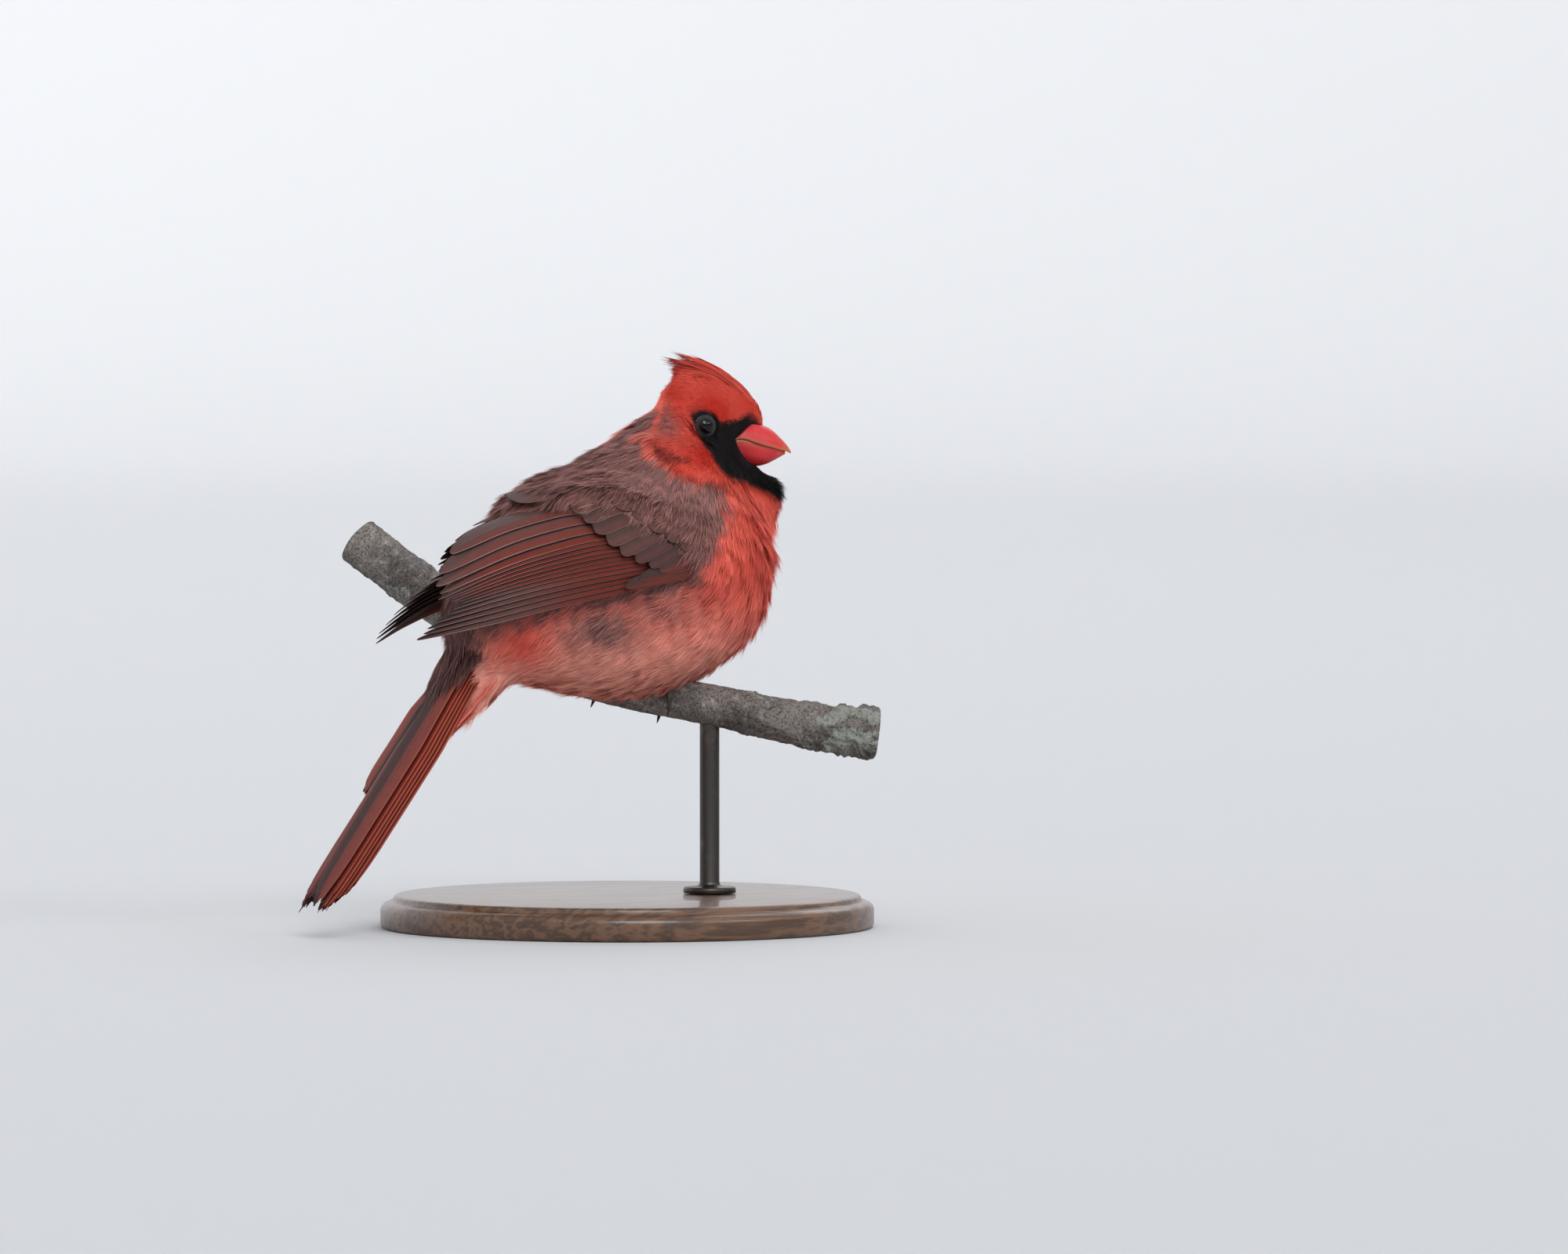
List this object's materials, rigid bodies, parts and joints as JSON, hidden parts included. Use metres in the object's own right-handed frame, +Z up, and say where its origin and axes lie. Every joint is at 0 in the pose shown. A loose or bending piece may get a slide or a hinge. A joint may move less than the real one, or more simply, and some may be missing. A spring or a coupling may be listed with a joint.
{
  "type": "northern cardinal",
  "caption": "Life-size male northern cardinal with raised crest and hanging tail, gripping a short cut branch held up by a plain display stand.",
  "frame": {"origin": "middle of the underside of the stand's round base", "axes": "+Z up, +X the way the bird's body points, +Y the bird's left side"},
  "size_m": [0.1856, 0.15, 0.1749],
  "materials": {
    "red_plumage": "vivid red head and crest plumage with a black mask, matt",
    "breast_plumage": "red to salmon breast and belly plumage, grey at the flank, matt",
    "grey_plumage": "grey-brown mantle plumage with rosy hair-like streaks, matt",
    "wing_feathers": "stiff brownish wing vanes with rusty red outer edges, low sheen",
    "tail_feathers": "stiff dark red-brown tail vanes with orange-red edges, low sheen",
    "bill_horn": "coral red horn, satin",
    "eye_gloss": "black-brown glass eye, glossy",
    "foot_skin": "dark grey-brown scaly skin and claws, satin",
    "bark": "rough grey-brown bark with grey-green lichen, pale cut ends",
    "stand_wood": "dark stained wood, satin",
    "stand_metal": "dark bronze-grey metal, satin"
  },
  "bodies": {
    "root": {"torso": "breast_plumage", "neck": "grey_plumage", "head": "red_plumage", "bill_upper": "bill_horn", "bill_lower": "bill_horn", "eye_left": "eye_gloss", "eye_right": "eye_gloss", "wing_right": "wing_feathers", "wing_left": "wing_feathers", "tail": "tail_feathers", "tail_coverts_upper": "grey_plumage", "tail_coverts_under": "breast_plumage", "leg_right": "foot_skin", "leg_left": "foot_skin", "foot_right": "foot_skin", "foot_left": "foot_skin", "claw_right_inner": "foot_skin", "claw_right_middle": "foot_skin", "claw_right_outer": "foot_skin", "claw_right_hind": "foot_skin", "claw_left_inner": "foot_skin", "claw_left_middle": "foot_skin", "claw_left_outer": "foot_skin", "claw_left_hind": "foot_skin", "perch": "bark", "stand_base": "stand_wood", "stand_rod": "stand_metal"}
  },
  "joints": []
}
